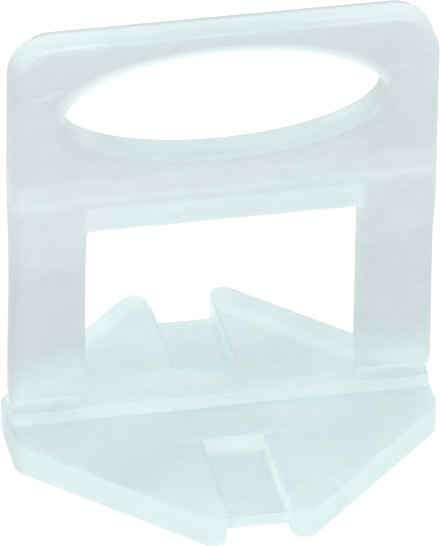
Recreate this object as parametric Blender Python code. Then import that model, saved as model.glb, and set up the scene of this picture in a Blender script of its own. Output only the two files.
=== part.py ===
# Tile levelling clip: one moulding of natural polypropylene.
# A flat base plate lies under two neighbouring tiles, and a low rib across it carries
# two legs on thin break webs. The legs frame the wedge window and join in a grip bar
# with an oval finger hole.
#
# Frame: X runs along the rib, Y across it, Z up. The origin is at the middle of the
# base plate's underside.

import math

import bpy
import bmesh
from mathutils import Vector

mm = 0.001

# Base plate
base_length = 40.2 * mm            # over the two flat ends, along X
base_depth = 39.8 * mm             # over the tips of the lobes, along Y
base_thickness = 3.1 * mm
base_end_flat = 8.2 * mm           # length of the flat at each end, along Y
end_corner_radius = 2.5 * mm
lobe_tip_radius = 1.3 * mm
notch_width = 6.1 * mm             # between the two lobes of one side
notch_depth = 2.7 * mm             # from the lobe tips to the edge of the pocket floor
notch_corner_radius = 0.3 * mm
plate_edge_radius = 0.25 * mm

# Pocket that runs from each notch towards the rib
pocket_width = 5.9 * mm
pocket_floor = 1.3 * mm            # thickness that is left under the pocket
pocket_from_rib = 5.2 * mm         # plate that stays between the rib and the pocket

# Rib across the base
rib_thickness = 2.2 * mm           # along Y
rib_height = 1.25 * mm             # above the plate
rib_edge_radius = 0.3 * mm
rib_end_radius = 0.2 * mm
rib_end_margin = 0.2 * mm          # from the rib's end to the plate's end

# Break webs, one under each leg
web_height = 1.25 * mm
web_thickness = 1.2 * mm
web_inset = 0.25 * mm              # narrower than the leg, on each side

# Legs and wedge window
window_width = 25.9 * mm
window_height = 20.7 * mm          # from the top of the plate
window_corner_radius = 0.4 * mm
leg_thickness = 2.4 * mm
leg_foot_radius = 0.8 * mm
leg_margin = 0.1 * mm              # from the leg's outer side to the plate's end

# Grip bar
bridge_height = 7.0 * mm           # between the window and the finger hole
hole_length = 30.2 * mm
hole_height = 10.5 * mm
top_bar_height = 2.5 * mm          # above the finger hole
top_corner_radius = 4.0 * mm
front_step = 0.55 * mm             # how far the grip bar stands proud of the legs in front
rear_step = 0.85 * mm              # and behind
front_step_above_window = 1.6 * mm
front_step_length = 6.2 * mm       # height over which the front eases back to the legs
rear_step_above_window = 5.8 * mm
rear_step_length = 7.6 * mm
upright_edge_radius = 0.4 * mm

# How finely curves are divided
arc_step = math.radians(15)
oval_points = 56
edge_rings = 2
step_cuts = 5

# How deep one solid runs into the next where they are joined
join_overlap = 0.4 * mm

# Levels and places worked out from the sizes above
rib_top = base_thickness + rib_height
leg_bottom = rib_top + web_height
window_top = base_thickness + window_height
hole_middle = window_top + bridge_height + hole_height / 2
upright_top = window_top + bridge_height + hole_height + top_bar_height
upright_width = base_length - 2 * leg_margin


def clear_scene():
    for obj in list(bpy.data.objects):
        bpy.data.objects.remove(obj, do_unlink=True)


def rounded_outline(corners):
    """Closed outline from (x, y, radius) corners, with an arc at each corner."""
    points = []
    count = len(corners)
    for i, (x, y, radius) in enumerate(corners):
        here = Vector((x, y))
        before = (Vector(corners[i - 1][:2]) - here).normalized()
        after = (Vector(corners[(i + 1) % count][:2]) - here).normalized()
        half = before.angle(after) / 2
        middle = here + (before + after).normalized() * (radius / math.sin(half))
        start = here + before * (radius / math.tan(half)) - middle
        sweep = start.angle_signed(here + after * (radius / math.tan(half)) - middle)
        steps = max(1, math.ceil(abs(sweep) / arc_step))
        for k in range(steps + 1):
            turn = -sweep * k / steps
            points.append((middle.x + start.x * math.cos(turn) - start.y * math.sin(turn),
                           middle.y + start.x * math.sin(turn) + start.y * math.cos(turn)))
    return points


def oval_outline(middle_x, middle_y, length, height):
    """Ellipse, run clockwise so that the material lies outside it."""
    angles = [-2 * math.pi * k / oval_points for k in range(oval_points)]
    return [(middle_x + length / 2 * math.cos(a), middle_y + height / 2 * math.sin(a)) for a in angles]


def inset_outline(points, distance):
    """Outline moved into the material by a distance, with mitred corners."""
    moved = []
    count = len(points)
    for i in range(count):
        here = Vector(points[i])
        along_in = (here - Vector(points[i - 1])).normalized()
        along_out = (Vector(points[(i + 1) % count]) - here).normalized()
        normal_in = Vector((-along_in.y, along_in.x))
        normal_out = Vector((-along_out.y, along_out.x))
        shift = (normal_in + normal_out) / (1 + normal_in.dot(normal_out))
        moved.append(tuple(here + shift * distance))
    return moved


def slab_mesh(outlines, low, high, edge_radius):
    """Slab between two levels of Z, with its outlines' edges rounded above and below.

    The first outline runs counter-clockwise round the material, and any others run
    clockwise round openings.
    """
    mesh = bmesh.new()
    quarter = [math.pi / 2 * k / edge_rings for k in range(edge_rings + 1)]
    levels = [(edge_radius * (1 - math.sin(a)), low + edge_radius * (1 - math.cos(a))) for a in quarter]
    levels += [(edge_radius * (1 - math.cos(a)), high - edge_radius * (1 - math.sin(a))) for a in quarter]
    bottom_edges = []
    top_edges = []
    for outline in outlines:
        rings = []
        for inset, level in levels:
            ring = [mesh.verts.new((x, y, level)) for x, y in inset_outline(outline, inset)]
            rings.append(ring)
        count = len(outline)
        for lower, upper in zip(rings, rings[1:]):
            for i in range(count):
                j = (i + 1) % count
                mesh.faces.new((lower[i], lower[j], upper[j], upper[i]))
        bottom_edges += [mesh.edges.get((rings[0][i], rings[0][i - 1])) for i in range(count)]
        top_edges += [mesh.edges.get((rings[-1][i], rings[-1][i - 1])) for i in range(count)]
    bmesh.ops.triangle_fill(mesh, use_beauty=True, use_dissolve=False, edges=bottom_edges, normal=(0, 0, -1))
    bmesh.ops.triangle_fill(mesh, use_beauty=True, use_dissolve=False, edges=top_edges, normal=(0, 0, 1))
    mesh.normal_update()
    bmesh.ops.recalc_face_normals(mesh, faces=mesh.faces)
    return mesh


def block_mesh(low, high):
    """Box between two corners."""
    mesh = bmesh.new()
    bmesh.ops.create_cube(mesh, size=1)
    for vert in mesh.verts:
        vert.co = Vector(lo if c < 0 else hi for c, lo, hi in zip(vert.co, low, high))
    return mesh


def add_object(name, mesh, material=None):
    data = bpy.data.meshes.new(name)
    mesh.to_mesh(data)
    mesh.free()
    obj = bpy.data.objects.new(name, data)
    bpy.context.scene.collection.objects.link(obj)
    if material:
        data.materials.append(material)
    return obj


def add_tool(name, mesh):
    """An object that only shapes another one, and isn't part of the model itself."""
    tool = add_object(name, mesh)
    tool.hide_render = True
    tool.display_type = 'WIRE'
    return tool


def shape_with(obj, tool, operation):
    modifier = obj.modifiers.new(tool.name, 'BOOLEAN')
    modifier.object = tool
    modifier.operation = operation
    modifier.solver = 'EXACT'


def clip_material():
    """Natural polypropylene: pale, cold and slightly glossy."""
    material = bpy.data.materials.new("natural_polypropylene")
    material.use_nodes = True
    shader = material.node_tree.nodes["Principled BSDF"]
    shader.inputs["Base Color"].default_value = (0.68, 0.77, 0.77, 1)
    shader.inputs["Roughness"].default_value = 0.35
    shader.inputs["Metallic"].default_value = 0
    shader.inputs["IOR"].default_value = 1.49
    return material


def base_outline():
    """Six-sided plan of the plate, with its two long points cut into lobes by the notches."""
    end_x = base_length / 2
    end_y = base_end_flat / 2
    notch_x = notch_width / 2
    # The long side leaves the end's corner and touches the circle of the lobe's tip
    to_tip = Vector((notch_x + lobe_tip_radius - end_x, base_depth / 2 - lobe_tip_radius - end_y))
    side_angle = math.atan2(to_tip.y, -to_tip.x) + math.asin(lobe_tip_radius / to_tip.length)
    point_y = end_y + (end_x - notch_x) * math.tan(side_angle)
    floor_y = base_depth / 2 - notch_depth
    half = [(end_x, end_y, end_corner_radius),
            (notch_x, point_y, lobe_tip_radius),
            (notch_x, floor_y, notch_corner_radius)]
    rear_right = half
    rear_left = [(-x, y, r) for x, y, r in reversed(half)]
    front_left = [(-x, -y, r) for x, y, r in half]
    front_right = [(x, -y, r) for x, y, r in reversed(half)]
    return rounded_outline(rear_right + rear_left + front_left + front_right)


def upright_outline():
    """Front view of the legs and grip bar: an arch with rounded shoulders."""
    side_x = upright_width / 2
    window_x = window_width / 2
    return rounded_outline([
        (side_x, leg_bottom, leg_foot_radius),
        (side_x, upright_top, top_corner_radius),
        (-side_x, upright_top, top_corner_radius),
        (-side_x, leg_bottom, leg_foot_radius),
        (-window_x, leg_bottom, leg_foot_radius),
        (-window_x, window_top, window_corner_radius),
        (window_x, window_top, window_corner_radius),
        (window_x, leg_bottom, leg_foot_radius)])


def ease(value, start, end):
    """Rises from 0 at start to 1 at end, with a smooth beginning and end."""
    t = min(1, max(0, (value - start) / (end - start)))
    return t * t * (3 - 2 * t)


def upright_mesh():
    """Arch of the legs' thickness, thickened above the window into the grip bar."""
    front_high = window_top + front_step_above_window
    front_low = front_high - front_step_length
    rear_high = window_top + rear_step_above_window
    rear_low = rear_high - rear_step_length
    oval = oval_outline(0, hole_middle, hole_length, hole_height)
    mesh = slab_mesh([upright_outline(), oval], -leg_thickness / 2, leg_thickness / 2, upright_edge_radius)
    # The slab is drawn lying on its back: its Y is the height, and its Z runs to the front
    for low, high in ((front_low, front_high), (rear_low, rear_high)):
        for k in range(step_cuts + 1):
            height = low + (high - low) * k / step_cuts
            bmesh.ops.bisect_plane(mesh, geom=mesh.verts[:] + mesh.edges[:] + mesh.faces[:], dist=1e-7,
                                   plane_co=(0, height, 0), plane_no=(0, 1, 0))
    for vert in mesh.verts:
        x, height, forward = vert.co
        if forward > 0:
            forward += front_step * ease(height, front_low, front_high)
        else:
            forward -= rear_step * ease(height, rear_low, rear_high)
        vert.co = (x, -forward, height)
    return mesh


def rib_mesh():
    """Low bar across the plate, rounded along its edges and sunk into the plate."""
    half_length = base_length / 2 - rib_end_margin
    half_thickness = rib_thickness / 2
    sunk = base_thickness - rib_edge_radius - join_overlap
    outline = rounded_outline([
        (half_thickness, sunk, rib_edge_radius),
        (half_thickness, rib_top, rib_edge_radius),
        (-half_thickness, rib_top, rib_edge_radius),
        (-half_thickness, sunk, rib_edge_radius)])
    mesh = slab_mesh([outline], -half_length, half_length, rib_end_radius)
    # The slab is drawn standing on the rib's end
    for vert in mesh.verts:
        across, up, along = vert.co
        vert.co = (along, across, up)
    return mesh


def build_clip():
    clip = add_object("levelling_clip", slab_mesh([base_outline()], 0, base_thickness, plate_edge_radius),
                      clip_material())
    pocket_start = rib_thickness / 2 + pocket_from_rib
    past_edge = base_depth / 2 + notch_depth
    for side, name in ((-1, "front_pocket"), (1, "rear_pocket")):
        ends = sorted((side * pocket_start, side * past_edge))
        cutter = add_tool(name, block_mesh((-pocket_width / 2, ends[0], pocket_floor),
                                           (pocket_width / 2, ends[1], 2 * base_thickness)))
        shape_with(clip, cutter, 'DIFFERENCE')
    shape_with(clip, add_tool("rib", rib_mesh()), 'UNION')
    for side, name in ((-1, "left_web"), (1, "right_web")):
        ends = sorted((side * (window_width / 2 + web_inset), side * (upright_width / 2 - web_inset)))
        web = add_tool(name, block_mesh((ends[0], -web_thickness / 2, rib_top - join_overlap),
                                        (ends[1], web_thickness / 2, leg_bottom + join_overlap)))
        shape_with(clip, web, 'UNION')
    shape_with(clip, add_tool("upright", upright_mesh()), 'UNION')
    clip.data.shade_smooth()
    clip.data.set_sharp_from_angle(angle=math.radians(30))
    return clip


clear_scene()
build_clip()
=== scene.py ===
# Tile levelling clip in natural polypropylene: one moulding, drawn as one smooth closed surface

import math

import bmesh
import bpy
import numpy as np
from mathutils import Matrix, Vector
from mathutils.geometry import delaunay_2d_cdt


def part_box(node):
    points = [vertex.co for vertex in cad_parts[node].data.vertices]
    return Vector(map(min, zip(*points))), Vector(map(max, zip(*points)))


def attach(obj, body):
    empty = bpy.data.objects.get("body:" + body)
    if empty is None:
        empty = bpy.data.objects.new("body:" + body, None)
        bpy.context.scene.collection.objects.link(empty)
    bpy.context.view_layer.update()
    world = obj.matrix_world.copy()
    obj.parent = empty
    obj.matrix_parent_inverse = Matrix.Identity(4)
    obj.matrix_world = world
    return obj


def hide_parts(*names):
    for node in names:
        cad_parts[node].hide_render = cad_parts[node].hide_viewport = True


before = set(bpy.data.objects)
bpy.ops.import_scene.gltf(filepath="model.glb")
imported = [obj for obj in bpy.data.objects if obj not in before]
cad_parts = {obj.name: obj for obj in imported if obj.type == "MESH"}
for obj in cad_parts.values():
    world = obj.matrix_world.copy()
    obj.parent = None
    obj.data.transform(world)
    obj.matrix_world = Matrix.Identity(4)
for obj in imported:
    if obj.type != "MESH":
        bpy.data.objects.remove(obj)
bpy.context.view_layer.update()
mm = 0.001
low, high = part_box("levelling_clip")
print("frame loaded")


# Shapes

fineness = {
    "arcStep": math.radians(9),     # turn between two points of an arc
    "run": 0.9 * mm,                # longest step along a straight edge
    "rings": 5,                     # steps round a rounded edge
    "overlap": 0.4 * mm,            # how deep one shape runs into the next before they are joined
    "gridMargin": 0.45,             # grid points keep this share of their spacing from the outline
    "capMerge": 1e-6,               # in the triangulation's millimetres
    "pieceMerge": 0.0005 * mm,      # points closer than this are one, in a shape and in the joined clip
    "clipMerge": 0.002 * mm,
    "sharpFrom": math.radians(35),
}


# Outline of straight runs joined by arcs, as complex points with the normals that point out of the material.
# A corner is (x, y, radius). At each one the direction swings evenly from the incoming to the outgoing edge,
# and the point is the arc's centre plus the radius along the swung normal, negative where the corner is
# hollow.
def roundedOutline(corners):
    spots = np.array([complex(x, y) for x, y, radius in corners])
    radii = np.array([radius for x, y, radius in corners])
    incoming = spots - np.roll(spots, 1)
    incoming = incoming / abs(incoming)
    turn = np.angle(np.roll(incoming, -1) / incoming)
    bulge = radii * np.sign(turn)
    centre = spots - incoming * radii * np.tan(abs(turn) / 2) + 1j * incoming * bulge
    points, normals = [], []
    for k in range(len(corners)):
        steps = max(2, math.ceil(abs(turn[k]) / fineness["arcStep"]))
        outward = -1j * incoming[k] * np.exp(1j * np.linspace(0, turn[k], steps + 1))
        arc = centre[k] + bulge[k] * outward
        after = (k + 1) % len(corners)
        target = centre[after] + bulge[after] * (-1j * incoming[after])
        runSteps = max(1, math.ceil(abs(target - arc[-1]) / fineness["run"]))
        run = arc[-1] + (target - arc[-1]) * np.arange(1, runSteps) / runSteps
        points += [arc, run]
        normals += [outward, np.full(len(run), outward[-1])]
    return np.concatenate(points), np.concatenate(normals)


# Ellipse run clockwise, so that its normals point into the hole: x = a cos t, y = b sin t
def ovalOutline(middle, length, height, count):
    t = -np.linspace(0, 2 * np.pi, count, endpoint=False)
    points = middle + length / 2 * np.cos(t) + 1j * height / 2 * np.sin(t)
    normals = -(height * np.cos(t) + 1j * length * np.sin(t))
    return points, normals / abs(normals)


# Wall section from the bottom edge to the top edge, as inset and level: a quarter circle, the wall and
# another quarter circle
def wallSection(bottom, top, bottomRadius, topRadius):
    a = np.linspace(0, np.pi / 2, fineness["rings"] + 1)
    inset = np.concatenate([bottomRadius * (1 - np.sin(a)), topRadius * (1 - np.cos(a))])
    level = np.concatenate([bottom + bottomRadius * (1 - np.cos(a)), top - topRadius * (1 - np.sin(a))])
    return inset, level


# Even-odd rule: a point is inside where a ray along +X crosses the outlines an odd number of times
def insideOutlines(points, loops):
    crossings = np.zeros(len(points), int)
    for loop in loops:
        start, end = loop, np.roll(loop, -1)
        spans = (start.imag > points.imag[:, None]) != (end.imag > points.imag[:, None])
        rise = np.where(start.imag == end.imag, 1, end.imag - start.imag)
        x = start.real + (points.imag[:, None] - start.imag) * (end.real - start.real) / rise
        crossings += (spans & (points.real[:, None] < x)).sum(1)
    return crossings % 2 == 1


# Flat end of a slab: the loops' own points, with points on a square grid between them, joined into even
# triangles. Positions are first rounded to single precision, as the triangulation reads them, so that both
# agree on straight runs.
def capTriangles(loops, spacing):
    loops = [(loop / mm).astype(np.complex64).astype(complex) * mm for loop in loops]
    loopPoints = np.concatenate(loops)
    x = np.arange(loopPoints.real.min(), loopPoints.real.max(), spacing) + spacing / 2
    y = np.arange(loopPoints.imag.min(), loopPoints.imag.max(), spacing) + spacing / 2
    grid = (x[:, None] + 1j * y[None]).ravel()
    grid = grid[insideOutlines(grid, loops)]
    apart = abs(grid[:, None] - loopPoints[None]).min(1)
    grid = grid[apart > spacing * fineness["gridMargin"]]
    points = np.concatenate([loopPoints, grid])
    starts = np.cumsum([0] + [len(loop) for loop in loops])
    edges = [(first + k, first + (k + 1) % len(loop))
             for first, loop in zip(starts, loops) for k in range(len(loop))]
    flat = [Vector((p.real / mm, p.imag / mm)) for p in points]
    _, _, faces, origins, _, _ = delaunay_2d_cdt(flat, edges, [], 0, fineness["capMerge"])
    triangles = np.array([face for face in faces if len(face) == 3])
    names = np.array([origin[0] for origin in origins])
    triangles = names[triangles]
    middles = points[triangles].mean(1)
    return points, triangles[insideOutlines(middles, loops)]


# Slab whose wall section is carried round each outline: point = outline - inset * normal, height = level
def slab(outlines, section, capSpacing):
    inset, level = section
    vertices, faces, bottomLoops, topLoops = [], [], [], []
    count = 0
    for outline, normal in outlines:
        grid = outline[:, None] - inset[None] * normal[:, None]
        rows, columns = grid.shape
        levels = np.broadcast_to(level, grid.shape)
        vertices.append(np.stack([grid.real, grid.imag, levels], -1).reshape(-1, 3))
        here = count + np.arange(rows * columns).reshape(rows, columns)
        there = np.roll(here, -1, 0)
        quads = np.stack([here[:, :-1], there[:, :-1], there[:, 1:], here[:, 1:]], -1).reshape(-1, 4)
        faces += quads.tolist()
        bottomLoops.append(grid[:, 0])
        topLoops.append(grid[:, -1])
        count += rows * columns
    for loops, height, flipped in ((bottomLoops, level[0], True), (topLoops, level[-1], False)):
        points, triangles = capTriangles(loops, capSpacing)
        vertices.append(np.stack([points.real, points.imag, np.full(len(points), height)], -1))
        faces += (count + (triangles[:, ::-1] if flipped else triangles)).tolist()
        count += len(points)
    return np.concatenate(vertices), faces


def addPiece(name, vertices, faces):
    data = bpy.data.meshes.new(name)
    data.from_pydata(vertices.tolist(), [], faces)
    cleaner = bmesh.new()
    cleaner.from_mesh(data)
    bmesh.ops.remove_doubles(cleaner, verts=cleaner.verts, dist=fineness["pieceMerge"])
    openEdges = sum(1 for edge in cleaner.edges if not edge.is_manifold)
    cleaner.to_mesh(data)
    cleaner.free()
    piece = bpy.data.objects.new(name, data)
    bpy.context.scene.collection.objects.link(piece)
    print(name, len(data.polygons), "faces,", openEdges, "open edges")
    return piece


# Joins or cuts one closed surface with another, and leaves one mesh
def combine(piece, tool, operation):
    modifier = piece.modifiers.new("combine", 'BOOLEAN')
    modifier.object = tool
    modifier.operation = operation
    modifier.solver = 'EXACT'
    bpy.context.view_layer.update()
    evaluated = piece.evaluated_get(bpy.context.evaluated_depsgraph_get())
    joined = bpy.data.meshes.new_from_object(evaluated)
    piece.modifiers.clear()
    piece.data = joined
    bpy.data.objects.remove(tool)


# Rises smoothly from 0 at start to 1 at end: 3t^2 - 2t^3
def ease(value, start, end):
    t = np.clip((value - start) / (end - start), 0, 1)
    return t * t * (3 - 2 * t)


plate = {
    "thickness": 3.1 * mm,
    "endFlat": 8.2 * mm,
    "endRadius": 2.5 * mm,
    "lobeRadius": 1.3 * mm,
    "notchWidth": 6.1 * mm,
    "notchDepth": 2.7 * mm,
    "notchRadius": 0.3 * mm,
    "topEdge": 0.22 * mm,
    "bottomEdge": 0.25 * mm,
    "capSpacing": 0.9 * mm,
}


# Outward normal of the plate's long sides, which run from the flat ends tangent to the lobes' tips
def slantNormal():
    lobe = plate["lobeRadius"]
    toTip = complex(high.x - plate["notchWidth"] / 2 - lobe, high.y - lobe - plate["endFlat"] / 2)
    slant = np.angle(toTip) + math.asin(lobe / abs(toTip))
    return complex(math.sin(slant), math.cos(slant))


# Plan of the plate: two flat ends, the long slanted sides, and a notch between the lobes
def plateOutline():
    endY = plate["endFlat"] / 2
    notchX = plate["notchWidth"] / 2
    lobe = plate["lobeRadius"]
    wallNormal = slantNormal()
    pointY = endY + (high.x - notchX) * wallNormal.real / wallNormal.imag
    quarter = [(high.x, endY, plate["endRadius"]),
               (notchX, pointY, lobe),
               (notchX, high.y - plate["notchDepth"], plate["notchRadius"])]
    half = quarter + [(-x, y, radius) for x, y, radius in reversed(quarter)]
    return roundedOutline(half + [(-x, -y, radius) for x, y, radius in half])


pocket = {
    "width": 5.9 * mm,
    "floor": 1.3 * mm,              # plastic left under it
    "fromRib": 5.2 * mm,
    "cornerRadius": 0.25 * mm,
    "floorFillet": 0.2 * mm,
}


def cutPocket(clip, side):
    start = rib["thickness"] / 2 + pocket["fromRib"]
    end = high.y + plate["notchDepth"]
    x = pocket["width"] / 2
    corners = [(-x, start), (x, start), (x, end), (-x, end)]
    if side < 0:
        corners = [(-x, -y) for x, y in corners]
    outline = roundedOutline([(x, y, pocket["cornerRadius"]) for x, y in corners])
    fillet = pocket["floorFillet"]
    section = wallSection(pocket["floor"], 2 * plate["thickness"], fillet, fillet)
    combine(clip, addPiece("pocket", *slab([outline], section, plate["capSpacing"])), 'DIFFERENCE')


rib = {
    "thickness": 2.2 * mm,
    "height": 1.25 * mm,
    "edge": 0.3 * mm,
    "endEdge": 0.12 * mm,
    "endMargin": 0.2 * mm,          # the rib stops this short of the plate's ends
    "capSpacing": 0.5 * mm,
}


# Bar across the plate: its section is carried along X
def ribPiece():
    half = rib["thickness"] / 2
    halfLength = high.x - rib["endMargin"]
    sunk = plate["thickness"] - rib["edge"] - fineness["overlap"]
    top = plate["thickness"] + rib["height"]
    corners = [(half, sunk), (half, top), (-half, top), (-half, sunk)]
    outline = roundedOutline([(x, y, rib["edge"]) for x, y in corners])
    section = wallSection(-halfLength, halfLength, rib["endEdge"], rib["endEdge"])
    points, faces = slab([outline], section, rib["capSpacing"])
    return addPiece("rib", points[:, [2, 0, 1]], faces)


web = {
    "height": 1.25 * mm,
    "waist": 1.2 * mm,              # thickness at mid height, where it snaps
    "flare": 0.15 * mm,             # how much wider each side is at the rib and at the leg
    "inset": 0.1 * mm,              # narrower than the leg, at each side
    "cornerRadius": 0.3 * mm,
    "sunk": 0.2 * mm,
    "capSpacing": 0.5 * mm,
}


# Break web: its plan is carried upwards, drawn in towards mid height:
# inset = flare * (1 - s^2), s from -1 to 1
def webPiece(side):
    bottom = plate["thickness"] + rib["height"]
    inner = upright["windowWidth"] / 2 + web["inset"]
    outer = high.x - upright["endMargin"] - web["inset"]
    y = web["waist"] / 2 + web["flare"]
    left, right = sorted((side * inner, side * outer))
    corners = [(left, -y), (right, -y), (right, y), (left, y)]
    outline = roundedOutline([(x, y, web["cornerRadius"]) for x, y in corners])
    s = np.linspace(-1, 1, 2 * fineness["rings"] + 1)
    inset = np.concatenate([[0], web["flare"] * (1 - s * s), [0]])
    level = bottom + web["height"] * (s + 1) / 2
    level = np.concatenate([[bottom - web["sunk"]], level, [bottom + web["height"] + web["sunk"]]])
    return addPiece("web", *slab([outline], (inset, level), web["capSpacing"]))


upright = {
    "endMargin": 0.1 * mm,          # from the legs' outer sides to the plate's ends
    "legInset": 0.1 * mm,           # the legs' outer sides draw in between foot and grip bar
    "legInsetFade": 8 * mm,         # and come out again over this length, up to the front step's top
    "windowWidth": 25.9 * mm,
    "windowHeight": 20.7 * mm,      # above the plate
    "windowRadius": 0.4 * mm,
    "legThickness": 2.4 * mm,
    "footRadius": 0.8 * mm,
    "bridge": 7.0 * mm,             # between the window and the finger hole
    "holeLength": 30.2 * mm,
    "holeHeight": 10.5 * mm,
    "holePoints": 132,
    "shoulderRadius": 4.0 * mm,
    "frontStep": 0.55 * mm,         # how far the grip bar stands proud of the legs in front
    "rearStep": 0.85 * mm,          # and behind
    "frontStepAbove": 1.6 * mm,     # where each step ends, above the window's top
    "frontStepLength": 6.2 * mm,
    "rearStepAbove": 5.8 * mm,
    "rearStepLength": 7.6 * mm,
    "frontEdge": 0.45 * mm,
    "rearEdge": 0.4 * mm,
    "capSpacing": 0.7 * mm,
}
windowTop = plate["thickness"] + upright["windowHeight"]
holeMiddle = windowTop + upright["bridge"] + upright["holeHeight"] / 2


# Legs and grip bar as one arch. It is drawn lying on its back, with its height along Y and its front up,
# then turned upright, and each face is moved outwards by its own step * ease(height).
def uprightPiece():
    sideX = high.x - upright["endMargin"]
    windowX = upright["windowWidth"] / 2
    bottom = plate["thickness"] + rib["height"] + web["height"]
    foot, shoulder, corner = upright["footRadius"], upright["shoulderRadius"], upright["windowRadius"]
    arch = roundedOutline([(sideX, bottom, foot), (sideX, high.z, shoulder), (-sideX, high.z, shoulder),
                           (-sideX, bottom, foot), (-windowX, bottom, foot), (-windowX, windowTop, corner),
                           (windowX, windowTop, corner), (windowX, bottom, foot)])
    hole = ovalOutline(1j * holeMiddle, upright["holeLength"], upright["holeHeight"], upright["holePoints"])
    half = upright["legThickness"] / 2
    points, faces = slab([arch, hole], wallSection(-half, half, upright["rearEdge"], upright["frontEdge"]),
                         upright["capSpacing"])
    x, height, forward = points.T
    frontTop = windowTop + upright["frontStepAbove"]
    rearTop = windowTop + upright["rearStepAbove"]
    front = upright["frontStep"] * ease(height, frontTop - upright["frontStepLength"], frontTop)
    rear = upright["rearStep"] * ease(height, rearTop - upright["rearStepLength"], rearTop)
    forward = np.where(forward > 0, forward + front, forward - rear)
    drawnIn = upright["legInset"] * ease(height, bottom, windowTop)
    drawnIn = drawnIn * (1 - ease(height, frontTop - upright["legInsetFade"], frontTop))
    x = np.where(abs(x) > windowX + web["inset"], x - np.sign(x) * drawnIn, x)
    return addPiece("upright", np.stack([x, -forward, height], -1), faces)


def buildClip():
    section = wallSection(low.z, low.z + plate["thickness"], plate["bottomEdge"], plate["topEdge"])
    clip = addPiece("moulded_clip", *slab([plateOutline()], section, plate["capSpacing"]))
    for side in (-1, 1):
        cutPocket(clip, side)
    combine(clip, ribPiece(), 'UNION')
    for side in (-1, 1):
        combine(clip, webPiece(side), 'UNION')
    combine(clip, uprightPiece(), 'UNION')
    finisher = bmesh.new()
    finisher.from_mesh(clip.data)
    bmesh.ops.remove_doubles(finisher, verts=finisher.verts, dist=fineness["clipMerge"])
    openEdges = sum(1 for edge in finisher.edges if not edge.is_manifold)
    finisher.to_mesh(clip.data)
    finisher.free()
    clip.data.shade_smooth()
    clip.data.set_sharp_from_angle(angle=fineness["sharpFrom"])
    smoother = clip.modifiers.new("flat_faces_stay_flat", 'WEIGHTED_NORMAL')
    smoother.keep_sharp = True
    print("clip joined:", len(clip.data.polygons), "faces,", openEdges, "open edges")
    return clip


# Materials


def linearColour(hexColour):
    channels = [int(hexColour[k:k + 2], 16) / 255 for k in (1, 3, 5)]
    return (*[c / 12.92 if c <= 0.04045 else ((c + 0.055) / 1.055) ** 2.4 for c in channels], 1)


# Adds a node, with its own settings, its inputs' values and its links
def addNode(tree, kind, settings={}, values={}, links={}):
    node = tree.nodes.new(kind)
    for name, value in settings.items():
        setattr(node, name, value)
    for name, value in values.items():
        node.inputs[name].default_value = value
    for name, socket in links.items():
        tree.links.new(socket, node.inputs[name])
    return node


# Natural polypropylene, injection moulded: uncoloured and milky. Part of the light is scattered back, part
# comes through from behind and part passes almost clear, so the walls behind show dimly. Where light has far
# to go inside, it has scattered more and looks whiter; that whiteness is painted into the colour, as a depth
# felt from the thickness, and painted light and shade are added to it. The base lies on the white table, and
# its painted colours are bluer where it is thin and greener at its walls.
polypropylene = {
    "thinColour": "#bac5c5",
    "deepColour": "#e1efef",
    "baseThinColour": "#c7d6dc",
    "baseDeepColour": "#dff1ef",
    "paintedRimGlow": "#f4ffff",
    "thinnest": -0.44,              # depth with the thin colour; the deep one comes at 1, the rim's painted glow at 2
    "reach": 7 * mm,                # how far inside the depth is felt
    "feelers": 8,                   # rays that feel for it
    "ior": 1.49,
    "clearShare": 0.4,
    "milkyShare": 0.6,
    "innerGlow": 0.3,
    "roughness": 0.22,
    "plateUpLight": 0.35,                # painted light on faces that look up: on the plate,
    "lipUpLight": 0.5,                   # in the finger hole,
    "barUpLight": (0.65, 1.2),           # and on the bar, at its front and rear edge
    "barTop": 41 * mm,
    # painted light of the white table on the base's faces and walls
    "baseFaceLight": 0.15,
    "baseWallLight": 0.5,
    "baseTop": 4.5 * mm,            # the table's painted light fades out above the base, between these heights
    "tableReach": 10 * mm,
    "topMargin": 0.01 * mm,         # a face up to this far above the plate's top belongs to it
}


# Painted light, as the share of deep colour at each face corner, from its height h and normal n: faces that
# look up are painted lighter, and so is the base near the white table: up(h, y) max(n.z, 0) + nearTable(h)
# (face + wall (1 - |n.z|))
def paintLightAsDepth(clip):
    data = clip.data
    normals = np.empty(3 * len(data.loops))
    data.corner_normals.foreach_get("vector", normals)
    upward = normals.reshape(-1, 3)[:, 2]
    owners = np.empty(len(data.loops), int)
    data.loops.foreach_get("vertex_index", owners)
    spots = np.empty(3 * len(data.vertices))
    data.vertices.foreach_get("co", spots)
    y, z = spots.reshape(-1, 3)[owners, 1:].T
    nearTable = 1 - ease(z, polypropylene["baseTop"], polypropylene["tableReach"])
    half = upright["legThickness"] / 2
    frontUp, rearUp = polypropylene["barUpLight"]
    barUpLight = frontUp + (rearUp - frontUp) * ease(y, -half - upright["frontStep"], half + upright["rearStep"])
    up = polypropylene["lipUpLight"] + (polypropylene["plateUpLight"] - polypropylene["lipUpLight"]) * nearTable
    up = np.where(z > polypropylene["barTop"], barUpLight, up)
    depth = up * np.maximum(upward, 0)
    depth += nearTable * (polypropylene["baseFaceLight"] + polypropylene["baseWallLight"] * (1 - abs(upward)))
    painted = data.attributes.new("depth", 'FLOAT', 'CORNER')
    painted.data.foreach_set("value", depth.astype(np.float32))


# Cloudy flow, a few millimetres across and drawn out sideways
cloudyFlow = {
    "perLength": 0.45 / mm,
    "detail": 5,
    "roughness": 0.75,
    "drawnOut": (0.7, 1, 1),
    "swing": 0.13,                  # of depth, both ways
}
# Milk of polypropylene is nowhere quite the same: patches drift between bluish and greenish
huePatches = {
    "perLength": 0.12 / mm,
    "detail": 2,
    "roughness": 0.5,
    "hues": (0.48, 0.525),          # 0.5 leaves the hue as it is
}
noiseSpan = (0.3, 0.7)              # values between which nearly all of both noises lies
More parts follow.
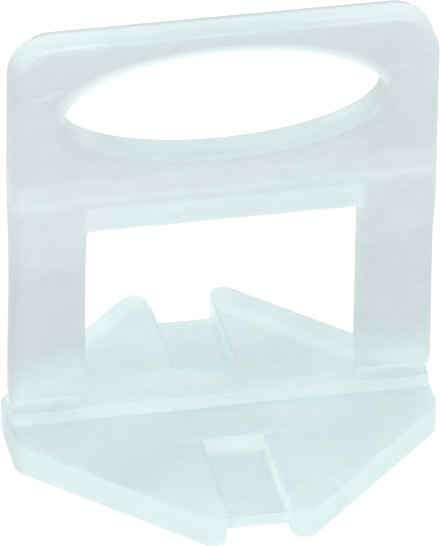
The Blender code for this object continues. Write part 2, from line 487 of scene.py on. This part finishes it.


# Changes of depth along a length in millimetres, at its stops
# Painted light and shade against the height: where the upright swells on both faces, and at the plate, rib
# and webs, light and shade are painted as faint level bands
paintedLevelBands = {
    "stops": [0, 1.3, 2.4, 2.9, 3.1, 3.35, 3.5, 4.3, 4.6, 5.0, 5.5, 5.9, 9.5, 11.5, 19.6, 20.2,
              26.4, 27.0, 27.4, 27.75, 28.2, 28.7, 29.2, 30.4, 32.0],
    "depths": [0.15, 0.02, -0.15, -0.15, 0, 0, 0.28, 0.33, 0.24, 0.15, 0.27, 0.15, 0.15, -0.02, -0.04, 0.08,
               0.2, 0.3, 0.44, 0.44, 0.3, 0.3, 0.3, 0.1, 0.03],
    "wander": 0.35 * mm,
}
# Painted light and shade against the distance to the slanted walls: light is painted where the rear ones
# would shine through the plate's top, and soft shade along the front ones
paintedRearWallLight = {
    "stops": [0, 0.3, 2.2, 2.8, 3.9, 4.5, 5.2, 6.0],
    "depths": [-0.1, 0, 0.08, 0.4, 0.4, 0, -0.08, 0],
    "leftShift": 2.2 * mm,          # the left one shows nearer to its edge, as it is seen more from outside
}
paintedFrontWallShade = {"stops": [0, 0.15, 0.3, 0.6, 1.3], "depths": [0, 0, -0.15, -0.12, 0]}
# Painted shade against the distance below the finger hole, where its lip shades off to the front; the second
# ramp paints a grey line of shade along its front edge
lipShade = {"stops": [0, 0.3, 0.8, 1.3, 2.3], "depths": [-0.12, -0.26, -0.27, -0.18, 0]}
lipEdgeShade = {"stops": [0, 0.4, 0.8], "depths": [0.1, 0.1, 0]}
# Share of the grey outline against the height: thin at the plate, none where the webs let the light in
outlineShare = {"stops": [0, 3.3, 3.6, 5.5, 8.0], "depths": [0.28, 0.28, 0, 0, 1]}


# Soft lighter (or darker) marks, in millimetres from the clip's origin: many are painted light and shade, the
# rest the uneven tone of the flow in the mould. Columns: place, half sizes, turn about Y and about Z in
# degrees, depth
lightAndFlowMarks = [
    ((-17.4, -1.9, 38.8), (1.5, 1.0, 0.35), -8, 0, 0.4),
    ((-15.8, -1.9, 39.3), (1.3, 1.0, 0.3), -12, 0, 0.35),
    ((16.7, -1.9, 38.7), (0.8, 1.0, 0.3), 10, 0, 0.35),
    ((11.2, 0.9, 32.5), (2.8, 0.8, 0.8), -25, 0, 0.6),
    ((16.9, -1.7, 26.0), (1.8, 1.0, 0.25), 45, 0, 0.2),
    # painted light and painted shade at the left leg's foot
    ((-14.9, -1.2, 6.6), (4.4, 1.0, 4.8), 0, 0, 0.55),
    ((-15.3, -1.2, 5.6), (3.8, 1.0, 4.2), 0, 0, -0.5),
    ((7.0, -6.5, 3.1), (11.0, 5.0, 1.0), 0, -12, -0.1),
    # painted shade down the left leg's outer end
    ((-20.1, -1.0, 18.0), (1.8, 2.0, 14.0), 0, 0, -0.3),
    ((19.6, -1.7, 38.0), (3.5, 2.0, 9.0), 0, 0, 0.16),
    # painted light on the front pocket's walls
    ((0.0, -6.3, 2.2), (7.0, 0.5, 4.0), 0, 0, 0.65),
    ((2.95, -13.8, 2.2), (0.4, 7.4, 3.0), 0, 0, 0.85),
    ((-10.5, 0.5, 32.2), (3.5, 2.5, 1.2), 0, 0, -0.4),
    ((-5.0, 17.5, 3.1), (3.5, 4.0, 2.0), 0, 0, -0.4),
    ((5.0, 17.5, 3.1), (3.5, 4.0, 2.0), 0, 0, -0.3),
    ((-9.0, 9.0, 3.1), (6.0, 5.0, 2.0), 0, 0, -0.35),
    ((-1.0, 4.0, 3.1), (9.0, 3.5, 2.0), 0, 0, 0.35),
    ((0.0, 12.5, 1.3), (4.5, 6.0, 1.5), 0, 0, -0.3),
    ((16.5, -1.2, 15.0), (6.0, 2.0, 9.0), 0, 0, 0.12),
    ((16.4, -1.2, 7.0), (3.6, 1.0, 1.2), 0, 0, 0.25),
    # painted shade at the plate's left end
    ((-20.1, 0.0, 1.5), (0.8, 6.0, 3.0), 0, 0, -0.6),
    # painted highlight streaks along the bar's top
    ((-14.0, -1.3, 43.8), (4.0, 0.35, 1.0), 0, 2, 0.5),
    ((-6.0, 0.2, 43.8), (4.5, 0.4, 1.0), 0, 5, 0.4),
    ((1.5, 0.9, 43.8), (2.0, 0.35, 1.0), 0, 3, 0.35),
    ((10.0, -0.4, 43.8), (4.5, 0.4, 1.0), 0, -4, 0.4),
    ((-18.6, -2.6, 2.8), (1.6, 0.8, 0.5), 0, 0, -0.25),
]


# Ramp of depth along a length, as far as its last stop
def depthRamp(tree, length, ramp):
    span = max(ramp["stops"])
    share = addNode(tree, "ShaderNodeMath", settings={"operation": 'DIVIDE'}, values={1: span * mm},
                    links={0: length})
    node = addNode(tree, "ShaderNodeValToRGB", links={"Fac": share.outputs[0]})
    stops = node.color_ramp.elements
    for k, (position, value) in enumerate(zip(ramp["stops"], ramp["depths"])):
        stop = stops[k] if k < 2 else stops.new(1)
        stop.position = position / span
        stop.color = (value, value, value, 1)
    return node.outputs[0]


def flowNoise(tree, place):
    drawnOut = addNode(tree, "ShaderNodeMapping", values={"Scale": cloudyFlow["drawnOut"]},
                       links={"Vector": place})
    return addNode(tree, "ShaderNodeTexNoise", values={
        "Scale": cloudyFlow["perLength"],
        "Detail": cloudyFlow["detail"],
        "Roughness": cloudyFlow["roughness"]},
        links={"Vector": drawnOut.outputs[0]}).outputs[0]


def addClouds(tree, depth, noise):
    cloudy = addNode(tree, "ShaderNodeMapRange", values={
        "From Min": noiseSpan[0],
        "From Max": noiseSpan[1],
        "To Min": -cloudyFlow["swing"],
        "To Max": cloudyFlow["swing"]},
        links={"Value": noise})
    return addNode(tree, "ShaderNodeMath", links={0: depth, 1: cloudy.outputs[0]}).outputs[0]


# Painted light and shade of the plate's slanted walls, as seen through its top. Distance to a wall: its own
# place less |place| . normal
def addPaintedWallLight(tree, depth, place, apart):
    wallNormal = slantNormal()
    wallAt = high.x * wallNormal.real + plate["endFlat"] / 2 * wallNormal.imag
    mirrored = addNode(tree, "ShaderNodeVectorMath", settings={"operation": 'ABSOLUTE'}, links={0: place})
    outwards = addNode(tree, "ShaderNodeVectorMath", settings={"operation": 'DOT_PRODUCT'},
                       values={1: (wallNormal.real, wallNormal.imag, 0)}, links={0: mirrored.outputs[0]})
    toWall = addNode(tree, "ShaderNodeMath", settings={"operation": 'SUBTRACT'}, values={0: wallAt},
                     links={1: outwards.outputs["Value"]})
    inRear = addNode(tree, "ShaderNodeMath", settings={"operation": 'GREATER_THAN'}, values={1: 0},
                     links={0: apart.outputs["Y"]})
    inLeft = addNode(tree, "ShaderNodeMath", settings={"operation": 'LESS_THAN'}, values={1: 0},
                     links={0: apart.outputs["X"]})
    toRearWall = addNode(tree, "ShaderNodeMath", settings={"operation": 'MULTIPLY_ADD'},
                         values={1: paintedRearWallLight["leftShift"]},
                         links={0: inLeft.outputs[0], 2: toWall.outputs[0]})
    walls = addNode(tree, "ShaderNodeMix", links={
        0: inRear.outputs[0],
        2: depthRamp(tree, toWall.outputs[0], paintedFrontWallShade),
        3: depthRamp(tree, toRearWall.outputs[0], paintedRearWallLight)})
    onPlate = addNode(tree, "ShaderNodeMath", settings={"operation": 'LESS_THAN'},
                      values={1: plate["thickness"] + polypropylene["topMargin"]},
                      links={0: apart.outputs["Z"]})
    return addNode(tree, "ShaderNodeMath", settings={"operation": 'MULTIPLY_ADD'},
                   links={0: onPlate.outputs[0], 1: walls.outputs[0], 2: depth}).outputs[0]


# Marks of painted light and shade, and of uneven flow, each a soft ellipsoid
def addLightAndFlowMarks(tree, depth, place):
    for spot, halfSize, tiltY, turnZ, strength in lightAndFlowMarks:
        fitted = addNode(tree, "ShaderNodeMapping", settings={"vector_type": 'TEXTURE'}, values={
            "Location": [c * mm for c in spot],
            "Scale": [c * mm for c in halfSize],
            "Rotation": (0, math.radians(tiltY), math.radians(turnZ))},
            links={"Vector": place})
        soft = addNode(tree, "ShaderNodeTexGradient", settings={"gradient_type": 'SPHERICAL'},
                       links={"Vector": fitted.outputs[0]})
        depth = addNode(tree, "ShaderNodeMath", settings={"operation": 'MULTIPLY_ADD'},
                        values={1: strength}, links={0: soft.outputs["Fac"], 2: depth}).outputs[0]
    return depth


# The place as seen from the finger hole's middle or beside it, in half lengths and half heights of the hole
def fromHole(tree, place, sideways, up):
    return addNode(tree, "ShaderNodeMapping", settings={"vector_type": 'TEXTURE'}, values={
        "Location": (sideways, 0, holeMiddle + up),
        "Scale": (upright["holeLength"] / 2, 1, upright["holeHeight"] / 2)},
        links={"Vector": place}).outputs[0]


# Painted light at the finger hole's upper rim: sight lines leave through the hole's own wall, in a crescent
# up to an ellipse that is the hole's, shifted. The painted glow grows between two sizes of that ellipse, and
# from the rear to the front.
holeRimGlow = {
    "sideways": -0.3 * mm,          # how far a sight line strays through the upright
    "up": 1.2 * mm,
    "sizes": (1.045, 0.87),
    "y": (1.2 * mm, 0.2 * mm),
}


def rimGlowShare(tree, place, apart):
    radius = addNode(tree, "ShaderNodeVectorMath", settings={"operation": 'LENGTH'},
                     links={0: fromHole(tree, place, holeRimGlow["sideways"], holeRimGlow["up"])})
    within = addNode(tree, "ShaderNodeMapRange", values={
        "From Min": holeRimGlow["sizes"][0],
        "From Max": holeRimGlow["sizes"][1]},
        links={"Value": radius.outputs["Value"]})
    inFront = addNode(tree, "ShaderNodeMapRange", values={
        "From Min": holeRimGlow["y"][0],
        "From Max": holeRimGlow["y"][1]},
        links={"Value": apart.outputs["Y"]})
    return addNode(tree, "ShaderNodeMath", settings={"operation": 'MULTIPLY'},
                   links={0: within.outputs[0], 1: inFront.outputs[0]}).outputs[0]


# The hole's lower lip, where shade is painted: towards the front, and below the hole's middle
lowerLip = {
    "y": (0.1 * mm, -1.6 * mm),
    "fade": 1 * mm,
}


# How much of a place is lip, and how far it lies beyond the hole: half height (radius - 1)
def lipPlace(tree, place, apart):
    flat = addNode(tree, "ShaderNodeVectorMath", settings={"operation": 'MULTIPLY'}, values={1: (1, 0, 1)},
                   links={0: fromHole(tree, place, 0, 0)})
    radius = addNode(tree, "ShaderNodeVectorMath", settings={"operation": 'LENGTH'},
                     links={0: flat.outputs[0]})
    halfHeight = upright["holeHeight"] / 2
    beyond = addNode(tree, "ShaderNodeMath", settings={"operation": 'MULTIPLY_ADD'},
                     values={1: halfHeight, 2: -halfHeight}, links={0: radius.outputs["Value"]})
    toFront = addNode(tree, "ShaderNodeMapRange", values={
        "From Min": lowerLip["y"][0],
        "From Max": lowerLip["y"][1]},
        links={"Value": apart.outputs["Y"]})
    toBottom = addNode(tree, "ShaderNodeMapRange", values={
        "From Min": holeMiddle,
        "From Max": holeMiddle - lowerLip["fade"]},
        links={"Value": apart.outputs["Z"]})
    lipAt = addNode(tree, "ShaderNodeMath", settings={"operation": 'MULTIPLY'},
                    links={0: toFront.outputs[0], 1: toBottom.outputs[0]})
    return lipAt.outputs[0], beyond.outputs[0]


# Painted light: the strip above the window, as if lit through the window's own top; it ends between these
# places
paintedWindowLight = {
    "side": (12.9 * mm, 13.4 * mm),
    "top": (26.4 * mm, 26.95 * mm),
    "bottom": (windowTop - 0.1 * mm, windowTop + 0.1 * mm),
    "depth": 0.42,
}


def addPaintedWindowLight(tree, depth, apart, height):
    width = addNode(tree, "ShaderNodeMath", settings={"operation": 'ABSOLUTE'}, links={0: apart.outputs["X"]})
    strip = None
    for length, (start, end), fades in ((width.outputs[0], paintedWindowLight["side"], True),
                                        (apart.outputs["Z"], paintedWindowLight["bottom"], False),
                                        (height, paintedWindowLight["top"], True)):
        within = addNode(tree, "ShaderNodeMapRange", values={
            "From Min": start,
            "From Max": end,
            "To Min": float(fades),
            "To Max": float(not fades)},
            links={"Value": length}).outputs[0]
        if strip is not None:
            within = addNode(tree, "ShaderNodeMath", settings={"operation": 'MULTIPLY'},
                             links={0: strip, 1: within}).outputs[0]
        strip = within
    return addNode(tree, "ShaderNodeMath", settings={"operation": 'MULTIPLY_ADD'},
                   values={1: paintedWindowLight["depth"]}, links={0: strip, 2: depth}).outputs[0]


# Thin to deep colour, with the base's pair below the rib, painted as the white table lights it, drifting in
# patches, and then the rim's painted glow
def depthColour(tree, depth, place, apart):
    toDeep = addNode(tree, "ShaderNodeMapRange", values={
        "From Min": polypropylene["thinnest"],
        "From Max": 1},
        links={"Value": depth})
    inBase = addNode(tree, "ShaderNodeMapRange", values={
        "From Min": plate["thickness"] + rib["height"],
        "From Max": plate["thickness"]},
        links={"Value": apart.outputs["Z"]})
    shades = [addNode(tree, "ShaderNodeMix", settings={"data_type": 'RGBA'},
                      values={6: linearColour(polypropylene[above]), 7: linearColour(polypropylene[below])},
                      links={0: inBase.outputs[0]})
              for above, below in (("thinColour", "baseThinColour"), ("deepColour", "baseDeepColour"))]
    colour = addNode(tree, "ShaderNodeMix", settings={"data_type": 'RGBA'},
                     links={0: toDeep.outputs[0], 6: shades[0].outputs[2], 7: shades[1].outputs[2]})
    patches = addNode(tree, "ShaderNodeTexNoise", values={
        "Scale": huePatches["perLength"],
        "Detail": huePatches["detail"],
        "Roughness": huePatches["roughness"]},
        links={"Vector": place})
    drift = addNode(tree, "ShaderNodeMapRange", settings={"clamp": False}, values={
        "From Min": noiseSpan[0],
        "From Max": noiseSpan[1],
        "To Min": huePatches["hues"][0],
        "To Max": huePatches["hues"][1]},
        links={"Value": patches.outputs[0]})
    colour = addNode(tree, "ShaderNodeHueSaturation",
                     links={"Hue": drift.outputs[0], "Color": colour.outputs[2]})
    deepest = addNode(tree, "ShaderNodeMapRange", values={"From Min": 1, "From Max": 2},
                      links={"Value": depth})
    lightest = addNode(tree, "ShaderNodeMath", settings={"operation": 'MAXIMUM'},
                       links={0: rimGlowShare(tree, place, apart), 1: deepest.outputs[0]})
    return addNode(tree, "ShaderNodeMix", settings={"data_type": 'RGBA'},
                   values={7: linearColour(polypropylene["paintedRimGlow"])},
                   links={0: lightest.outputs[0], 6: colour.outputs[0]}).outputs[2]


# Painted shade: rounded edges that turn away from the eye would bend the sight line into the dark of a room,
# and this is painted as a thin grey outline. The same painted shade lies along the lip's front edge, the
# plate's left end and the bar's rear top edge.
paintedGreyOutline = {
    "colour": "#acadb4",
    "reach": 0.35 * mm,
    "rounded": (0.95, 0.5),         # how closed in a face is: not yet, fully
    "away": (0.3, 0.55),            # how far it turns from the eye: not yet, fully
    "windowReach": 0.8 * mm,        # beside the window's right side there is less of it
    "windowShare": 0.3,
    "leftEnd": (0.8 * mm, 0.3 * mm),
    "leftEndShare": 0.13,
    "rearEdge": 0.6 * mm,
    "rearEdgeShare": 0.5,
    "barEdge": (0.5 * mm, 0.25 * mm),
}


def edgeShare(tree, apart):
    edge = addNode(tree, "ShaderNodeAmbientOcclusion",
                   settings={"inside": True, "only_local": True, "samples": polypropylene["feelers"]},
                   values={"Distance": paintedGreyOutline["reach"]})
    rounded = addNode(tree, "ShaderNodeMapRange", values={
        "From Min": paintedGreyOutline["rounded"][0],
        "From Max": paintedGreyOutline["rounded"][1]},
        links={"Value": edge.outputs["AO"]})
    facing = addNode(tree, "ShaderNodeLayerWeight", values={"Blend": 0.5})
    away = addNode(tree, "ShaderNodeMapRange", values={
        "From Min": paintedGreyOutline["away"][0],
        "From Max": paintedGreyOutline["away"][1]},
        links={"Value": facing.outputs["Facing"]})
    besideWindow = addNode(tree, "ShaderNodeMath", settings={"operation": 'COMPARE'},
                           values={1: upright["windowWidth"] / 2, 2: paintedGreyOutline["windowReach"]},
                           links={0: apart.outputs["X"]})
    lit = addNode(tree, "ShaderNodeMapRange", values={"To Min": 1, "To Max": paintedGreyOutline["windowShare"]},
                  links={"Value": besideWindow.outputs[0]})
    share = rounded.outputs[0]
    for factor in (away.outputs[0], depthRamp(tree, apart.outputs["Z"], outlineShare), lit.outputs[0]):
        share = addNode(tree, "ShaderNodeMath", settings={"operation": 'MULTIPLY'},
                        links={0: share, 1: factor}).outputs[0]
    return share


def leftEndShare(tree, apart):
    start, end = paintedGreyOutline["leftEnd"]
    return addNode(tree, "ShaderNodeMapRange", values={
        "From Min": -high.x + start,
        "From Max": -high.x + end,
        "To Max": paintedGreyOutline["leftEndShare"]},
        links={"Value": apart.outputs["X"]}).outputs[0]


def rearEdgeShare(tree, apart):
    edgeAt = upright["legThickness"] / 2 + upright["rearStep"] - upright["rearEdge"]
    start, end = paintedGreyOutline["barEdge"]
    toRear = addNode(tree, "ShaderNodeMapRange", values={
        "From Min": edgeAt - paintedGreyOutline["rearEdge"],
        "From Max": edgeAt,
        "To Max": paintedGreyOutline["rearEdgeShare"]},
        links={"Value": apart.outputs["Y"]})
    onBar = addNode(tree, "ShaderNodeMapRange", values={"From Min": high.z - start, "From Max": high.z - end},
                    links={"Value": apart.outputs["Z"]})
    return addNode(tree, "ShaderNodeMath", settings={"operation": 'MULTIPLY'},
                   links={0: toRear.outputs[0], 1: onBar.outputs[0]}).outputs[0]


def clipMaterial():
    material = bpy.data.materials.new("injection_moulded_polypropylene")
    material.use_nodes = True
    tree = material.node_tree
    tree.nodes.clear()
    place = addNode(tree, "ShaderNodeTexCoord").outputs["Object"]
    apart = addNode(tree, "ShaderNodeSeparateXYZ", links={0: place})
    inward = addNode(tree, "ShaderNodeAmbientOcclusion",
                     settings={"inside": True, "only_local": True, "samples": polypropylene["feelers"]},
                     values={"Distance": polypropylene["reach"]})
    painted = addNode(tree, "ShaderNodeAttribute", settings={"attribute_name": "depth"})
    noise = flowNoise(tree, place)
    wandering = addNode(tree, "ShaderNodeMath", settings={"operation": 'MULTIPLY_ADD'},
                        values={1: paintedLevelBands["wander"]}, links={0: noise, 2: apart.outputs["Z"]})
    lipAt, beyond = lipPlace(tree, place, apart)

    # Depth: the thickness and the clouds, with the painted light and shade that make it more or less
    depth = addNode(tree, "ShaderNodeMath", links={0: inward.outputs["AO"], 1: painted.outputs["Fac"]})
    depth = addClouds(tree, depth.outputs[0], noise)
    bands = depthRamp(tree, wandering.outputs[0], paintedLevelBands)
    depth = addNode(tree, "ShaderNodeMath", links={0: depth, 1: bands}).outputs[0]
    depth = addPaintedWallLight(tree, depth, place, apart)
    depth = addLightAndFlowMarks(tree, depth, place)
    depth = addNode(tree, "ShaderNodeMath", settings={"operation": 'MULTIPLY_ADD'},
                    links={0: lipAt, 1: depthRamp(tree, beyond, lipShade), 2: depth}).outputs[0]
    depth = addPaintedWindowLight(tree, depth, apart, wandering.outputs[0])

    # Colour, with the painted grey outline over it
    lipShadeLine = addNode(tree, "ShaderNodeMath", settings={"operation": 'MULTIPLY'},
                      links={0: lipAt, 1: depthRamp(tree, beyond, lipEdgeShade)})
    outline = edgeShare(tree, apart)
    for other in (lipShadeLine.outputs[0], leftEndShare(tree, apart), rearEdgeShare(tree, apart)):
        outline = addNode(tree, "ShaderNodeMath", settings={"operation": 'MAXIMUM'},
                          links={0: outline, 1: other}).outputs[0]
    colour = addNode(tree, "ShaderNodeMix", settings={"data_type": 'RGBA'},
                     values={7: linearColour(paintedGreyOutline["colour"])},
                     links={0: outline, 6: depthColour(tree, depth, place, apart)}).outputs[2]

    # Outside: part clear, part milky. Inside, where light passes on to the next wall: nearly clear
    outer = addNode(tree, "ShaderNodeBsdfPrincipled", values={
        "Roughness": polypropylene["roughness"],
        "IOR": polypropylene["ior"],
        "Transmission Weight": polypropylene["clearShare"]},
        links={"Base Color": colour})
    milk = addNode(tree, "ShaderNodeBsdfTranslucent", links={"Color": colour})
    skin = addNode(tree, "ShaderNodeMixShader", values={0: polypropylene["milkyShare"]},
                   links={1: outer.outputs[0], 2: milk.outputs[0]})
    clear = addNode(tree, "ShaderNodeBsdfTransparent")
    glow = addNode(tree, "ShaderNodeBsdfTranslucent", values={"Color": (1, 1, 1, 1)})
    inner = addNode(tree, "ShaderNodeMixShader", values={0: polypropylene["innerGlow"]},
                    links={1: clear.outputs[0], 2: glow.outputs[0]})
    side = addNode(tree, "ShaderNodeNewGeometry")
    shown = addNode(tree, "ShaderNodeMixShader",
                    links={0: side.outputs["Backfacing"], 1: skin.outputs[0], 2: inner.outputs[0]})
    addNode(tree, "ShaderNodeOutputMaterial", links={"Surface": shown.outputs[0]})
    return material


clip = buildClip()
paintLightAsDepth(clip)
clip.data.materials.clear()
clip.data.materials.append(clipMaterial())
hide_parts("levelling_clip")
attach(clip, "root")
print("clip dressed")


# Stage and light

stage = {
    "floorSize": 4000 * mm,
    "floorGap": 0.05 * mm,          # below the clip's underside
    "white": "#ffffff",
    "backdropShare": 0.85,          # how much of the floor is plain white, whatever shade falls on it
    "skyStrength": 0.92,
}


# White to the camera, and to what is mirrored or seen through the plastic
def whiteRays(tree):
    path = addNode(tree, "ShaderNodeLightPath")
    first = addNode(tree, "ShaderNodeMath", settings={"operation": 'MAXIMUM'},
                    links={0: path.outputs["Is Camera Ray"], 1: path.outputs["Is Glossy Ray"]})
    return addNode(tree, "ShaderNodeMath", settings={"operation": 'MAXIMUM'},
                   links={0: first.outputs[0], 1: path.outputs["Is Transmission Ray"]}).outputs[0]


def addFloor():
    half = stage["floorSize"] / 2
    data = bpy.data.meshes.new("floor")
    corners = [(-half, -half), (half, -half), (half, half), (-half, half)]
    data.from_pydata([(x, y, low.z - stage["floorGap"]) for x, y in corners], [], [(0, 1, 2, 3)])
    floor = bpy.data.objects.new("floor", data)
    bpy.context.scene.collection.objects.link(floor)
    material = bpy.data.materials.new("white_studio_floor")
    material.use_nodes = True
    tree = material.node_tree
    tree.nodes.clear()
    paper = addNode(tree, "ShaderNodeBsdfDiffuse", values={"Color": linearColour(stage["white"])})
    glow = addNode(tree, "ShaderNodeEmission", values={"Color": linearColour(stage["white"]), "Strength": 1})
    share = addNode(tree, "ShaderNodeMath", settings={"operation": 'MULTIPLY'},
                    values={1: stage["backdropShare"]}, links={0: whiteRays(tree)})
    mixed = addNode(tree, "ShaderNodeMixShader",
                    links={0: share.outputs[0], 1: paper.outputs[0], 2: glow.outputs[0]})
    addNode(tree, "ShaderNodeOutputMaterial", links={"Surface": mixed.outputs[0]})
    data.materials.append(material)


def addWorld():
    world = bpy.data.worlds.new("white_studio")
    bpy.context.scene.world = world
    world.use_nodes = True
    tree = world.node_tree
    tree.nodes.clear()
    share = addNode(tree, "ShaderNodeMapRange", values={"To Min": stage["skyStrength"], "To Max": 1},
                    links={"Value": whiteRays(tree)})
    sky = addNode(tree, "ShaderNodeBackground", values={"Color": linearColour(stage["white"])},
                  links={"Strength": share.outputs[0]})
    addNode(tree, "ShaderNodeOutputWorld", links={"Surface": sky.outputs[0]})


# name: (place and size in metres, watts), each aimed at the middle of the clip
lamps = {
    "top_softbox": ((0.0, 0.05, 0.6), 0.5, 2.5),
    "front_softbox": ((-0.1, -0.65, 0.2), 0.4, 0.5),
}


def addLamps():
    target = Vector((0, 0, high.z / 2))
    for name, (place, size, watts) in lamps.items():
        light = bpy.data.lights.new(name, 'AREA')
        light.size = size
        light.energy = watts
        lamp = bpy.data.objects.new(name, light)
        lamp.location = place
        lamp.rotation_euler = (target - Vector(place)).to_track_quat('-Z', 'Y').to_euler()
        lamp.visible_camera = False
        bpy.context.scene.collection.objects.link(lamp)


view = {
    "azimuth": math.radians(-12.091),
    "elevation": math.radians(31.735),
    "roll": math.radians(0.895),
    "distance": 1063.7 * mm,
    "target": Vector((-0.055, 0, 17.14)) * mm,
    "lens": 754.85,                 # millimetres on a 36 mm sensor: a long lens, so nearly parallel lines
    "sensor": 36,
    "farthest": 10000 * mm,
}


# Camera on a sphere round its target; roll turns it about its own line of sight
def addCamera():
    a, e = view["azimuth"], view["elevation"]
    back = Vector((math.sin(a) * math.cos(e), -math.cos(a) * math.cos(e), math.sin(e)))
    level = Vector((math.cos(a), math.sin(a), 0))
    upward = back.cross(level)
    side = level * math.cos(view["roll"]) + upward * math.sin(view["roll"])
    turn = Matrix((side, back.cross(side), back)).transposed()
    data = bpy.data.cameras.new("camera")
    data.lens = view["lens"]
    data.sensor_width = view["sensor"]
    data.clip_end = view["farthest"]
    camera = bpy.data.objects.new("camera", data)
    place = view["target"] + back * view["distance"]
    camera.matrix_world = Matrix.LocRotScale(place, turn.to_quaternion(), None)
    bpy.context.scene.collection.objects.link(camera)
    bpy.context.scene.camera = camera


addFloor()
addWorld()
addLamps()
addCamera()
bpy.context.scene.view_settings.view_transform = 'Standard'
print("stage set")
